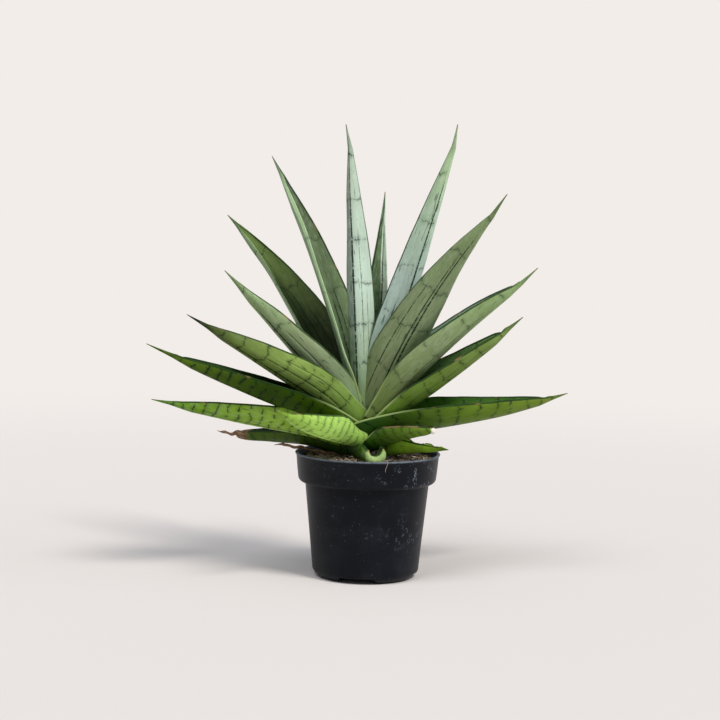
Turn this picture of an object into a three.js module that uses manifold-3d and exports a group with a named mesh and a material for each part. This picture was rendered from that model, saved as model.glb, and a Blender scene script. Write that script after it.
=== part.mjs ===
// A potted snake plant: a rosette of thick channelled leaves on a short crown, rooted in a nursery pot.
// Units are millimetres and +Z is up. The origin is the middle of the pot's foot circle; the front is -Y.
import * as THREE from "three";
import { LoftGeometry } from "three/addons/geometries/LoftGeometry.js";
import { mergeVertices } from "three/addons/utils/BufferGeometryUtils.js";
import Module from "manifold-3d";

const wasm = await Module();
wasm.setup();

// ---- driving dimensions -------------------------------------------------------------------------

const GAP = 0.35; // clearance between neighbouring pieces

// pot: a thin tapered cup with a wide rim band, standing on four feet
const POT_HEIGHT = 103;
const RIM_RADIUS = 60;
const BAND_BOTTOM_RADIUS = 57.2;
const BAND_BOTTOM = 78.5; // height of the band's lower edge
const WALL_TOP_RADIUS = 51;
const WALL_BOTTOM_RADIUS = 44.3;
const CORNER = 7; // radius of the round corner at the bottom
const POT_WALL = 1.3;
const FOOT_RADIUS = 40; // outer radius of the ring the feet are cut from
const FOOT_WIDTH = 3;
const FOOT_HEIGHT = 5;
const NOTCHES = 4;
const NOTCH_ANGLE = -100; // azimuth of the first notch, degrees
const NOTCH_WIDTH_LOW = 33;
const NOTCH_WIDTH_HIGH = 26;
const DRAIN_HOLES = 8;
const DRAIN_RADIUS = 4;
const DRAIN_CIRCLE = 28;
const POT_SIDES = 36;

// potting mix
const SOIL_EDGE_HEIGHT = 95;
const SOIL_CENTRE_HEIGHT = 98;

// crown: the short stem that the leaves grow from, and its stout roots
const CROWN_X = -3;
const CROWN_Y = 0;
const CROWN_BOTTOM = 66;
const CROWN_TOP = 158;
const CROWN_SIDES = 12;
const ROOTS = 5;
const ROOT_RADIUS = 2;
const ROOT_REACH = 34;
const ROOT_DROP = 46;

// leaves
const HEEL_LENGTH = 42; // length over which a leaf turns from the stem to its own direction
const SHEATH_LENGTH = 60; // length over which a leaf opens from clasping the stem to its own channel
const TIP_ANGLE = 95; // half of the arc at the awl tip, degrees
const AWL_HALF_WIDTH = 2.9; // half of the flattened width at the foot of the awl tip
const EDGE_SHARE = 0.28; // thickness at a leaf's edge, as a share of the thickness at its keel
const SLIM_HALF_WIDTH = 8; // below this half width a leaf gets thinner in proportion
const MOST_INSET = 0.8; // how far the inner face may move towards the section's centre, as a share
const MOST_WIDENING = 1.1; // how much wider a section may get when it is grown
const SLOPE_STEP = 1e-3; // share of the length over which a leaf's direction is measured
const LEAF_STATIONS = 10;
const LEAF_POINTS = 7; // points across each face of a leaf

// Each leaf, innermost first. azimuth 0 is +X and 90 is the back; rise is the angle of the leaf's chord
// above level. radius and height place the leaf's base on the crown, at the azimuth stand if it is given.
// girth is the radius of the sheath there, the same as radius unless given, and sheath is half of the arc
// that it wraps round the stem. thick is the thickness at the keel.
// length, width and channel (half of the arc of its section) give the blade. arch, sway and hook bow it
// up, sideways and up at the tip, as shares of its length; kink lifts it where the awl tip starts. heel is
// how far it first climbs along the stem, and roll turns it about its own line. wide and tip say how far
// along it is widest and where the awl tip starts; start and end cut it short.
const LEAF_DEFAULTS = {
  sheath: 125, arch: 0, sway: 0, hook: 0, roll: 0, kink: 0, wide: 0.32, tip: 0.9, start: 0, end: 1,
  thick: 4.6,
};
const LEAVES = {
  leaf_centre_small: {
    azimuth: 74, rise: 76, length: 185, width: 26, channel: 60, height: 138, radius: 5, heel: 2,
    roll: -25, tip: 0.87, colour: "#7f9c78",
  },
  leaf_front_tall: {
    azimuth: 215, rise: 85.2, length: 238, width: 31, channel: 60, height: 134, radius: 7, heel: 2,
    roll: -25, kink: 2.5, wide: 0.42, tip: 0.915, colour: "#b4cdb4",
  },
  leaf_right_tall: {
    azimuth: 338, rise: 73.3, length: 251, width: 36, channel: 52, height: 131, radius: 6.5, heel: 4,
    roll: 38, kink: -3, tip: 0.925, colour: "#a9c0a6",
  },
  leaf_left_tall: {
    azimuth: 159, rise: 68.5, length: 228, width: 42, channel: 55, height: 132, radius: 8, heel: 4,
    sheath: 115, roll: 12, arch: 0.03, tip: 0.92, colour: "#7d9a70",
  },
  leaf_right_upper: {
    azimuth: 325, rise: 56.2, length: 224, width: 46, channel: 48, height: 129, radius: 9, girth: 13,
    heel: 4, sheath: 110, roll: 46, arch: 0.055, kink: -3.3, wide: 0.25, colour: "#7c8a62",
  },
  leaf_left_upper: {
    azimuth: 195, rise: 47.6, length: 166, width: 48, channel: 62, height: 126.5, radius: 10.5,
    heel: 4, sheath: 110, roll: -18, tip: 0.905, colour: "#86a073",
  },
  leaf_back_left: {
    azimuth: 141, rise: 48, length: 230, width: 48, channel: 50, height: 121, radius: 8.5, heel: 5,
    roll: 15, arch: 0.045, tip: 0.93, colour: "#4f6238",
  },
  leaf_back_short: {
    azimuth: 80, rise: 54, length: 143, width: 38, channel: 55, height: 112, radius: 9, heel: 8,
    colour: "#5f7a44",
  },
  leaf_right_middle: {
    azimuth: 350, rise: 45.2, length: 182, width: 66, channel: 80, height: 127, radius: 14, heel: 4,
    sheath: 95, roll: -6, arch: 0.026, kink: -2.2, colour: "#76875a",
  },
  leaf_left_middle: {
    azimuth: 203, rise: 32.3, length: 171, width: 54, channel: 68, height: 122, radius: 13, heel: 5,
    sheath: 100, roll: -18, arch: 0.005, tip: 0.88, colour: "#7f9d63",
  },
  leaf_right_lower: {
    azimuth: 353, rise: 38.5, length: 151, width: 52, channel: 80, height: 120.5, radius: 13,
    girth: 14.5, heel: 5, sheath: 90, roll: -12, arch: -0.025, colour: "#5f7a3c",
  },
  leaf_left_lower: {
    azimuth: 203, rise: 23, length: 190, width: 54, channel: 74, height: 115, radius: 15, heel: 6,
    sheath: 92, roll: 6, arch: -0.015, tip: 0.87, colour: "#4f6b2c",
  },
  leaf_back_left_short: {
    azimuth: 130, rise: 20, length: 104, width: 40, channel: 55, height: 102, radius: 12, heel: 12,
    colour: "#3f5426",
  },
  leaf_right_low: {
    azimuth: 20, rise: 9.1, length: 195, width: 63, channel: 80, height: 110, radius: -6, girth: 18,
    heel: 8, sheath: 95, roll: -2, arch: -0.01, sway: 0.12, colour: "#5d7d31",
  },
  leaf_left_low: {
    azimuth: 196, rise: 12.2, length: 168, width: 52, channel: 72, height: 107, radius: 15, heel: 6,
    sheath: 92, roll: -12, arch: -0.01, colour: "#7d9d49",
  },
  leaf_front_right_clipped: {
    azimuth: 326, rise: 15.5, length: 75, width: 36, channel: 72, height: 107, radius: 17, stand: 285,
    girth: 9, heel: 4, sheath: 80, end: 0.85, colour: "#6a8a38",
  },
  leaf_front_left_short: {
    azimuth: 229, rise: 18, length: 107, width: 44, channel: 66, height: 112, radius: 19, stand: 262,
    girth: 7, heel: 2, sheath: 90, roll: -20, arch: -0.05, wide: 0.38, colour: "#93b95a",
  },
  leaf_left_dried_tip: {
    azimuth: 168, rise: 2.5, length: 113, width: 38, channel: 55, height: 96, radius: 14, heel: 8,
    arch: 0.03, hook: 0.05, tip: 0.97, colour: "#56702f",
  },
  leaf_front_cut_stub: {
    azimuth: 281, rise: 2, length: 66, width: 32, channel: 95, height: 97, radius: 14, heel: 4,
    end: 0.5, thick: 7, colour: "#8aa84e",
  },
  leaf_right_on_soil: {
    azimuth: 330, rise: 4.7, length: 65, width: 28, channel: 55, height: 101, radius: 14, heel: 5,
    start: 0.1, colour: "#8ba83a",
  },
  leaf_withered: {
    azimuth: 188, rise: 9.5, length: 61, width: 10, channel: 70, height: 95, radius: 15, girth: 4,
    heel: 4, colour: "#6b5238",
  },
};

const COLOURS = { pot: "#232426", potting_mix: "#4a3b2c", crown_and_roots: "#b9a37c" };

// ---- solids -------------------------------------------------------------------------------------

// A closed three.js geometry as a manifold-3d solid.
function solidOf(geometry) {
  const bare = new THREE.BufferGeometry();
  bare.setAttribute("position", geometry.attributes.position);
  bare.setIndex(geometry.index);
  const merged = mergeVertices(bare, 1e-4);
  const vertProperties = merged.attributes.position.array;
  const triVerts = new Uint32Array(merged.index.array);
  return new wasm.Manifold(new wasm.Mesh({ numProp: 3, vertProperties, triVerts }));
}

// The largest of the separate bodies that a cut leaves.
function largestBody(solid) {
  const bodies = solid.decompose();
  return bodies.reduce((best, body) => (body.volume() > best.volume() ? body : best));
}

function geometryOf(solid) {
  const mesh = solid.getMesh();
  const geometry = new THREE.BufferGeometry();
  geometry.setAttribute("position", new THREE.BufferAttribute(mesh.vertProperties, 3));
  geometry.setIndex(new THREE.BufferAttribute(mesh.triVerts, 1));
  geometry.computeVertexNormals();
  return geometry;
}

function addPiece(name, solid, colour, roughness) {
  const material = new THREE.MeshStandardMaterial({ color: colour, roughness, metalness: 0 });
  const mesh = new THREE.Mesh(geometryOf(solid), material);
  mesh.name = name;
  plant.add(mesh);
}

// A solid turned from a profile of [radius, height] pairs about the Z axis, standing at x, y.
function turned(profile, sides, x = 0, y = 0) {
  const points = profile.map(([radius, height]) => new THREE.Vector2(radius, height));
  const geometry = new THREE.LatheGeometry(points, sides);
  geometry.rotateX(Math.PI / 2);
  geometry.translate(x, y, 0);
  return solidOf(geometry);
}

// Points of a round corner, in a profile, from one angle to another in degrees.
function corner(centreRadius, centreHeight, bend, from, to, steps) {
  const points = [];
  for (let i = 0; i <= steps; i++) {
    const angle = THREE.MathUtils.degToRad(from + ((to - from) * i) / steps);
    points.push([centreRadius + bend * Math.cos(angle), centreHeight + bend * Math.sin(angle)]);
  }
  return points;
}

// ---- leaves -------------------------------------------------------------------------------------

function smooth(x) {
  return THREE.MathUtils.smoothstep(x, 0, 1);
}

// The point at share s of a leaf's keel line.
function keelPoint(leaf, s) {
  const { along, up, side } = leaf.axes;
  const bow = 4 * s * (1 - s);
  const climb = 1 - Math.max(1 - (s * leaf.length) / HEEL_LENGTH, 0) ** 2;
  const hook = THREE.MathUtils.clamp((s - 0.7) / 0.3, 0, 1) ** 2;
  const shoulder = Math.min(s / leaf.tip, (1 - s) / (1 - leaf.tip));
  const lift = leaf.length * (leaf.arch * bow + leaf.hook * hook);
  return leaf.base
    .clone()
    .addScaledVector(along, leaf.length * s)
    .addScaledVector(up, lift + leaf.heel * climb + leaf.kink * shoulder)
    .addScaledVector(side, leaf.length * leaf.sway * bow);
}

// Half of a leaf's flattened width at share s.
function halfWidth(leaf, s) {
  const base = (leaf.girth ?? leaf.radius) * THREE.MathUtils.degToRad(leaf.sheath);
  const full = leaf.width / 2;
  if (s < leaf.wide) return base + (full - base) * smooth(s / leaf.wide);
  if (s < leaf.tip) {
    const narrowing = ((s - leaf.wide) / (leaf.tip - leaf.wide)) ** 1.3;
    return full + (AWL_HALF_WIDTH - full) * narrowing;
  }
  return AWL_HALF_WIDTH * (1 - 0.85 * ((s - leaf.tip) / (1 - leaf.tip)) ** 0.8);
}

// Half of the arc of a leaf's section at share s, in radians.
function channelAngle(leaf, s) {
  const opened = smooth((s * leaf.length) / SHEATH_LENGTH);
  const blade = leaf.sheath + (leaf.channel - leaf.sheath) * opened;
  const closing = smooth((s - 0.55 * leaf.tip) / (0.45 * leaf.tip));
  return THREE.MathUtils.degToRad(blade + (TIP_ANGLE - blade) * closing);
}

// The closed section of a leaf at share s: its outer face from edge to edge, then its inner face back.
function leafSection(leaf, s, grow) {
  const tangent = keelPoint(leaf, s + SLOPE_STEP).sub(keelPoint(leaf, s - SLOPE_STEP)).normalize();
  const inward = leaf.axes.up.clone().addScaledVector(tangent, -leaf.axes.up.dot(tangent)).normalize();
  inward.applyAxisAngle(tangent, -THREE.MathUtils.degToRad(leaf.roll));
  const across = new THREE.Vector3().crossVectors(tangent, inward);
  const keel = keelPoint(leaf, s);
  const half = halfWidth(leaf, s);
  const angle = channelAngle(leaf, s);
  const bend = half / angle;
  const keelThickness = leaf.thick * Math.min(1, half / SLIM_HALF_WIDTH);
  const points = [];
  for (const face of [-1, 1]) {
    for (let i = 0; i < LEAF_POINTS; i++) {
      const t = face * ((2 * i) / (LEAF_POINTS - 1) - 1);
      const turn = angle * t * Math.min(1 + grow / half, MOST_WIDENING);
      const thickness = keelThickness * (1 - (1 - EDGE_SHARE) * t * t);
      const offset = Math.min(face * (thickness / 2 + grow), MOST_INSET * bend);
      const x = (bend - offset) * Math.sin(turn);
      const y = bend - (bend - offset) * Math.cos(turn);
      points.push(keel.clone().addScaledVector(across, x).addScaledVector(inward, y));
    }
  }
  return points;
}

// A leaf as a solid, thicker by grow on every side when it is used to cut room for itself.
function leafSolid(leaf, grow = 0) {
  const margin = grow / leaf.length;
  const start = leaf.start - margin;
  const end = leaf.end + margin;
  const sections = [];
  for (let i = 0; i < LEAF_STATIONS; i++) {
    const share = i / (LEAF_STATIONS - 1);
    const s = start + (end - start) * share ** 1.3;
    sections.push(leafSection(leaf, s, grow));
  }
  return solidOf(new LoftGeometry(sections, { closed: true, capStart: true, capEnd: true }));
}

// A leaf's named values with its defaults, the point where its keel leaves the crown, and its axes.
function growLeaf(values) {
  const leaf = { ...LEAF_DEFAULTS, ...values };
  const azimuth = THREE.MathUtils.degToRad(leaf.azimuth);
  const rise = THREE.MathUtils.degToRad(leaf.rise);
  const out = new THREE.Vector3(Math.cos(azimuth), Math.sin(azimuth), 0);
  const vertical = new THREE.Vector3(0, 0, 1);
  const along = out.clone().multiplyScalar(Math.cos(rise)).addScaledVector(vertical, Math.sin(rise));
  const up = out.clone().multiplyScalar(-Math.sin(rise)).addScaledVector(vertical, Math.cos(rise));
  const side = new THREE.Vector3().crossVectors(along, up);
  leaf.axes = { along, up, side };
  const stand = leaf.stand === undefined ? azimuth : THREE.MathUtils.degToRad(leaf.stand);
  const outOfCrown = new THREE.Vector3(Math.cos(stand), Math.sin(stand), 0);
  leaf.base = new THREE.Vector3(CROWN_X, CROWN_Y, leaf.height).addScaledVector(outOfCrown, leaf.radius);
  return leaf;
}

// ---- crown and roots ----------------------------------------------------------------------------

function crownStem(grow) {
  const profile = [
    [0, CROWN_BOTTOM - grow],
    [6 + grow, CROWN_BOTTOM - grow],
    [9 + grow, CROWN_BOTTOM + 6],
    [10.5 + grow, 88],
    [9.8 + grow, 97],
    [7.4 + grow, 107],
    [5 + grow, 117],
    [2.4 + grow, 130],
    [1.4 + grow, CROWN_TOP + grow],
    [0, CROWN_TOP + grow],
  ];
  return turned(profile, CROWN_SIDES, CROWN_X, CROWN_Y);
}

function root(index, grow) {
  const angle = (2 * Math.PI * index) / ROOTS;
  const at = (reach, drop) =>
    new THREE.Vector3(
      CROWN_X + reach * Math.cos(angle),
      CROWN_Y + reach * Math.sin(angle),
      CROWN_BOTTOM + 12 - drop,
    );
  const path = new THREE.CatmullRomCurve3([
    at(4, 2),
    at(ROOT_REACH * 0.5, 6),
    at(ROOT_REACH * 0.85, ROOT_DROP * 0.4),
    at(ROOT_REACH + grow, ROOT_DROP + grow),
  ]);
  const section = new THREE.Shape();
  section.absarc(0, 0, ROOT_RADIUS + grow, 0, 2 * Math.PI);
  const settings = { extrudePath: path, steps: 6, curveSegments: 3, bevelEnabled: false };
  return solidOf(new THREE.ExtrudeGeometry(section, settings));
}

function crownAndRoots(grow = 0) {
  let solid = crownStem(grow);
  for (let i = 0; i < ROOTS; i++) solid = solid.add(root(i, grow));
  return solid;
}

// ---- pot and potting mix ------------------------------------------------------------------------

function potBody() {
  const inner = WALL_BOTTOM_RADIUS - POT_WALL;
  const profile = [
    [0, FOOT_HEIGHT],
    [FOOT_RADIUS - FOOT_WIDTH, FOOT_HEIGHT],
    [FOOT_RADIUS - FOOT_WIDTH, 0],
    [FOOT_RADIUS, 0],
    ...corner(WALL_BOTTOM_RADIUS - CORNER, CORNER + 1, CORNER, -55, 0, 2),
    [WALL_TOP_RADIUS, BAND_BOTTOM - 1],
    ...corner(BAND_BOTTOM_RADIUS - 4, BAND_BOTTOM + 4, 4, -80, -5, 3),
    [RIM_RADIUS - 0.8, POT_HEIGHT - 2],
    [RIM_RADIUS, POT_HEIGHT - 1.6],
    [RIM_RADIUS, POT_HEIGHT],
    [RIM_RADIUS - POT_WALL, POT_HEIGHT],
    [BAND_BOTTOM_RADIUS - POT_WALL, BAND_BOTTOM + 5],
    [WALL_TOP_RADIUS - POT_WALL, BAND_BOTTOM + 1],
    ...corner(inner - 5, FOOT_HEIGHT + POT_WALL + 5, 5, 0, -90, 2),
    [0, FOOT_HEIGHT + POT_WALL],
  ];
  return turned(profile, POT_SIDES);
}

// A wedge with slanted sides that cuts the gap between two feet.
function notch(index) {
  const shape = new THREE.Shape();
  const below = -1;
  shape.moveTo(-NOTCH_WIDTH_LOW / 2, below);
  shape.lineTo(NOTCH_WIDTH_LOW / 2, below);
  shape.lineTo(NOTCH_WIDTH_HIGH / 2, FOOT_HEIGHT - 0.2);
  shape.lineTo(-NOTCH_WIDTH_HIGH / 2, FOOT_HEIGHT - 0.2);
  shape.closePath();
  const geometry = new THREE.ExtrudeGeometry(shape, { depth: 30, bevelEnabled: false });
  geometry.rotateX(Math.PI / 2);
  geometry.translate(0, -20, 0);
  geometry.rotateZ(THREE.MathUtils.degToRad(NOTCH_ANGLE + 90 + (360 * index) / NOTCHES));
  return solidOf(geometry);
}

function drainHole(index) {
  const angle = (2 * Math.PI * (index + 0.5)) / DRAIN_HOLES;
  const geometry = new THREE.CylinderGeometry(DRAIN_RADIUS, DRAIN_RADIUS, 10, 12);
  geometry.rotateX(Math.PI / 2);
  geometry.translate(DRAIN_CIRCLE * Math.cos(angle), DRAIN_CIRCLE * Math.sin(angle), FOOT_HEIGHT);
  return solidOf(geometry);
}

function pot() {
  let solid = potBody();
  for (let i = 0; i < NOTCHES; i++) solid = solid.subtract(notch(i));
  for (let i = 0; i < DRAIN_HOLES; i++) solid = solid.subtract(drainHole(i));
  return solid;
}

function pottingMix() {
  const wall = POT_WALL + GAP;
  const floor = FOOT_HEIGHT + POT_WALL + GAP;
  const edge = BAND_BOTTOM_RADIUS - wall - 0.4;
  const profile = [
    [0, floor],
    [WALL_BOTTOM_RADIUS - wall - 4.4, floor],
    [WALL_BOTTOM_RADIUS - wall, floor + 5],
    [WALL_TOP_RADIUS - wall - 0.3, BAND_BOTTOM + 1],
    [edge, BAND_BOTTOM + 5.5],
    [edge + 1, SOIL_EDGE_HEIGHT],
    [38, SOIL_CENTRE_HEIGHT - 0.5],
    [0, SOIL_CENTRE_HEIGHT],
  ];
  return turned(profile, POT_SIDES);
}

// ---- the plant ----------------------------------------------------------------------------------

const plant = new THREE.Group();
plant.name = "potted_snake_plant";

const potSolid = pot();
let soilSolid = pottingMix().subtract(crownAndRoots(GAP));
let occupied = crownAndRoots(GAP);
addPiece("crown_and_roots", crownAndRoots(), COLOURS.crown_and_roots, 0.8);

for (const [name, values] of Object.entries(LEAVES)) {
  const leaf = growLeaf(values);
  const solid = largestBody(leafSolid(leaf).subtract(occupied));
  const room = leafSolid(leaf, GAP);
  occupied = occupied.add(room);
  soilSolid = soilSolid.subtract(room);
  addPiece(name, solid, values.colour, 0.45);
}

addPiece("potting_mix", largestBody(soilSolid), COLOURS.potting_mix, 1);
addPiece("nursery_pot", potSolid, COLOURS.pot, 0.5);

export default plant;
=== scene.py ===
"""Looks of the potted snake plant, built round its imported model: leaves, mix, pot, light and camera."""
import random
from itertools import product
from math import cos, hypot, pi, radians, sin, sqrt
from types import SimpleNamespace

import bpy
import numpy as np
from mathutils import Matrix, Vector, noise


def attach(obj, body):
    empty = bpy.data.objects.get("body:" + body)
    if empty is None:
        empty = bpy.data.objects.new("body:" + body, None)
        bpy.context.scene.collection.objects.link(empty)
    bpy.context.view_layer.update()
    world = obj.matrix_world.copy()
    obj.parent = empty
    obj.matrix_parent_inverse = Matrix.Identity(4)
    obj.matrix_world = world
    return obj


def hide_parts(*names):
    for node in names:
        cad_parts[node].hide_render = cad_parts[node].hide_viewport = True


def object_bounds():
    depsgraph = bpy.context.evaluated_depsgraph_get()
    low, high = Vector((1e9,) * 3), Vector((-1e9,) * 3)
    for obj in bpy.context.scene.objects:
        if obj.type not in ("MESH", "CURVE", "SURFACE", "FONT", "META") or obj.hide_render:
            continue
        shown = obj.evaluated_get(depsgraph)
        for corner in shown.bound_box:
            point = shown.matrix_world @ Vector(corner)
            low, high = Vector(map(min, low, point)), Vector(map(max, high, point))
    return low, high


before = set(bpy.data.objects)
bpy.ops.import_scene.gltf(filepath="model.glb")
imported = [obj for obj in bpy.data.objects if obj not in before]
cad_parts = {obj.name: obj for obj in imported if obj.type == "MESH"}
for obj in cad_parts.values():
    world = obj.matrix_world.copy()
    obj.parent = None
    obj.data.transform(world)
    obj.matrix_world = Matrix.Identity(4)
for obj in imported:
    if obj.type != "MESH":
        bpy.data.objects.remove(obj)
cad_low, cad_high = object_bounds()

MM = 0.001  # the lengths below are in millimetres
noise.seed_set(4)  # without it, noise_vector starts from the clock and differs in each run

# ---- the plant's form, as its model has it ----

CROWN = (-3, 0)  # where the crown stands
HEEL_LENGTH = 42  # length over which a leaf turns from the stem to its own direction
SHEATH_LENGTH = 60  # length over which a leaf opens from clasping the stem to its own channel
TIP_ANGLE = 95  # half the angle that the section turns through in the awl
AWL_HALF_WIDTH = 2.9
EDGE_SHARE = 0.28  # thickness at a margin, as a share of that at the keel
SLIM_HALF_WIDTH = 8  # a blade that is slimmer than this is thinner too

# Angles are in degrees, lengths in mm, and shares are of the leaf's length. A leaf points to azimuth (0 is
# right, 90 is back) and climbs at rise. Its keel starts at height, radius out from the crown towards stand,
# or else azimuth, and it clasps a stem of radius girth, or else radius. It is widest at the share wide, and
# its awl begins at the share tip. channel and sheath are half the angle that its section turns through, on
# the blade and at the base, crease sharpens the keel, and thick is measured there. heel, arch, sway, hook
# and kink bend the keel, and roll turns the blade about it. start and end are where it is cut.
# Colours are pairs or triples from base to tip. flanks scales the colour of the half where t, which
# runs across the leaf from -1 to 1, is below 0 and of the half where it is above: painted light and shade on
# the
# two sides of the keel. lit_rim is (side, reach in mm, tint): a pale rim painted on as a highlight.
# bands is the spacing in mm of the dark cross-bands and how dark they are. A nick is (side, share, length
# share, depth share). A streak is (face, t, start, end, width in mm, darkness), on the outer face for -1 and
# in the channel for 1. From the share dry on, a leaf is brown, and crumple is by how many mm it wrinkles.
LEAF_DEFAULTS = dict(
    wide=0.32, tip=0.9, sheath=125, crease=12, thick=4.6, start=0, end=1,
    stand=None, girth=None, arch=0, sway=0, hook=0, kink=0, roll=0, crumple=0,
    slot="leaf_dark_green", outer=("#6f8a58", "#7f9c68"), inner=("#3c4f26", "#55703a"), flanks=(1, 1),
    lit_rim=None,
    bands=(24, 0.35), bloom=0.2, rust=0, gloss=0.13, dry=2, nicks=(),
    streaks=(),
)
LEAVES = {}
FIRST_SEED, SEED_STEP = 10, 7.3  # each leaf's markings come from another place in the noise


def add_leaf(name, **values):
    """Adds a leaf to the plant, with the defaults for what isn't given."""
    seed = FIRST_SEED + SEED_STEP * len(LEAVES)
    LEAVES[name] = SimpleNamespace(**{**LEAF_DEFAULTS, **values, "seed": seed})


add_leaf(
    "leaf_centre_small", azimuth=74, rise=76, length=185, width=26, tip=0.87, channel=60,
    height=138, radius=5, heel=2, roll=-25,
    slot="leaf_grey_green", outer=("#9db79c", "#a9c4a6", "#7d9c76"), inner=("#5c7450", "#5a734a"),
    lit_rim=(1, 5, "#dcf0da"), bloom=0.4,
    streaks=((1, 0.55, 0.1, 0.85, 2.0, 0.95), (1, -0.5, 0.2, 0.7, 0.7, 0.5)),
)
add_leaf(
    "leaf_front_tall", azimuth=215, rise=85.2, length=238, width=31, wide=0.42, tip=0.915, channel=60,
    crease=16, height=134, radius=7, heel=2, kink=2.5, roll=-25,
    slot="leaf_grey_green", outer=("#70875f", "#b9cfbf", "#a0b29c"), inner=("#7f9c78", "#8aa684"),
    flanks=(1.22, 0.52), bands=(34, 0.75), bloom=0.6,
    streaks=((-1, 0.0, 0.08, 0.93, 1.1, 0.95), (-1, -0.36, 0.22, 0.66, 0.6, 0.6),
             (-1, -0.62, 0.15, 0.45, 0.5, 0.4), (-1, 0.5, 0.1, 0.4, 0.5, 0.4)),
)
add_leaf(
    "leaf_right_tall", azimuth=338, rise=73.3, length=251, width=36, tip=0.925, channel=52, crease=14,
    height=131, radius=6.5, heel=4, kink=-3, roll=38,
    slot="leaf_grey_green", outer=("#87a38e", "#adc4ba", "#acc996"), inner=("#6f8c68", "#7a9674"),
    flanks=(1.12, 0.92), bands=(40, 0.65), bloom=0.6,
    streaks=((-1, 0.0, 0.05, 0.84, 1.3, 0.95), (-1, 0.42, 0.08, 0.42, 0.7, 0.7),
             (-1, -0.45, 0.1, 0.45, 0.6, 0.4), (-1, 0.7, 0.1, 0.3, 0.5, 0.4)),
)
add_leaf(
    "leaf_left_tall", azimuth=159, rise=68.5, length=228, width=42, tip=0.92, channel=55, sheath=115,
    height=132, radius=8, heel=4, arch=0.03, roll=12,
    slot="leaf_grey_green", outer=("#6d8564", "#7d9771"), inner=("#9cb48a", "#788e60", "#3e4a34"),
    lit_rim=(-1, 7, "#bcdca6"), bands=(46, 0.45), bloom=0.35,
    streaks=((1, -0.66, 0.05, 0.9, 1.7, 1), (1, -0.2, 0.1, 0.62, 1.1, 0.95),
             (1, 0.15, 0.1, 0.45, 1.3, 0.95), (1, 0.4, 0.3, 0.5, 1.0, 0.85),
             (-1, 0, 0.1, 0.8, 0.9, 0.6)),
)
add_leaf(
    "leaf_right_upper", azimuth=325, rise=56.2, length=224, width=46, wide=0.25, channel=48, sheath=110,
    crease=8, height=129, radius=9, girth=13, heel=4, arch=0.055, kink=-3.3, roll=46,
    slot="leaf_olive", outer=("#717f54", "#7f9067", "#7d9462"), inner=("#4f6238", "#5d7642"),
    bands=(38, 0.6), bloom=0.25, rust=0.2,
    streaks=((-1, -0.05, 0.1, 0.84, 1.3, 1), (-1, 0.07, 0.14, 0.72, 1.0, 0.95),
             (-1, 0.5, 0.1, 0.58, 0.9, 0.85), (-1, -0.55, 0.08, 0.3, 0.8, 0.5)),
)
add_leaf(
    "leaf_left_upper", azimuth=195, rise=47.6, length=166, width=48, tip=0.905, channel=62, sheath=110,
    crease=14, height=126.5, radius=10.5, heel=4, roll=-18,
    slot="leaf_grey_green", outer=("#aed49a", "#e0f8b8", "#bce496"), inner=("#3f5426", "#4f6b2c"),
    flanks=(0.4, 0.72), bands=(44, 0.6), bloom=0.3,
    streaks=((-1, -0.12, 0.2, 0.75, 1.7, 1), (-1, -0.5, 0.15, 0.6, 0.9, 0.7),
             (-1, 0.3, 0.1, 0.5, 0.7, 0.5)),
)
# painted shade: the channel's colours are near black at the base and dark in the middle, for the shade inside
# it
add_leaf(
    "leaf_back_left", azimuth=141, rise=48, length=230, width=48, tip=0.93, channel=50,
    height=121, radius=8.5, heel=5, arch=0.045, roll=15,
    outer=("#7c9468", "#86a06e", "#66845a"), inner=("#14180a", "#2a3416", "#687e42"),
    lit_rim=(-1, 5, "#93aa80"), bands=(42, 0.7), bloom=0.05, gloss=0.05,
    streaks=((1, -0.68, 0.05, 0.9, 1.6, 1), (1, -0.25, 0.1, 0.7, 1.5, 1),
             (1, 0.1, 0.25, 0.6, 1.3, 0.95), (1, 0.4, 0.3, 0.5, 1.1, 0.9),
             (1, -0.02, 0.4, 0.85, 0.9, 0.8)),
)
add_leaf(
    "leaf_back_short", azimuth=80, rise=54, length=143, width=38, channel=55,
    height=112, radius=9, heel=8,
    outer=("#5f7a44", "#6a8650"),
)
add_leaf(
    "leaf_right_middle", azimuth=350, rise=45.2, length=182, width=66, channel=80, sheath=95, crease=8,
    height=127, radius=14, heel=4, arch=0.026, kink=-2.2, roll=-6,
    slot="leaf_olive", outer=("#6c7f42", "#86986a", "#84a264"), inner=("#769074", "#88a68c", "#8eac94"),
    bands=(34, 0.6), bloom=0.25, rust=0.25, nicks=((-1, 0.87, 0.012, 0.2),),
    streaks=((-1, 0.3, 0.08, 0.75, 1.0, 0.6), (-1, 0.38, 0.05, 0.7, 0.8, 0.8),
             (-1, 0.1, 0.05, 0.3, 0.6, 0.5), (1, -0.62, 0.2, 0.85, 1.2, 0.9),
             (1, 0.4, 0.3, 0.8, 1.0, 0.8)),
)
add_leaf(
    "leaf_left_middle", azimuth=203, rise=32.3, length=171, width=54, tip=0.88, channel=68, sheath=100,
    height=122, radius=13, heel=5, arch=0.005, roll=-18,
    slot="leaf_grey_green", outer=("#a2cc5c", "#c8ee78", "#38480f"), inner=("#3f5426", "#4f6b2c"),
    flanks=(0.47, 0.75), bands=(20, 0.75), bloom=0.12, rust=0.1, gloss=0.1,
    streaks=((-1, -0.1, 0.05, 0.72, 1.4, 1), (-1, -0.42, 0.1, 0.6, 0.9, 0.75),
             (-1, -0.7, 0.1, 0.5, 0.7, 0.6), (-1, 0.35, 0.02, 0.3, 0.8, 0.6)),
)
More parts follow.
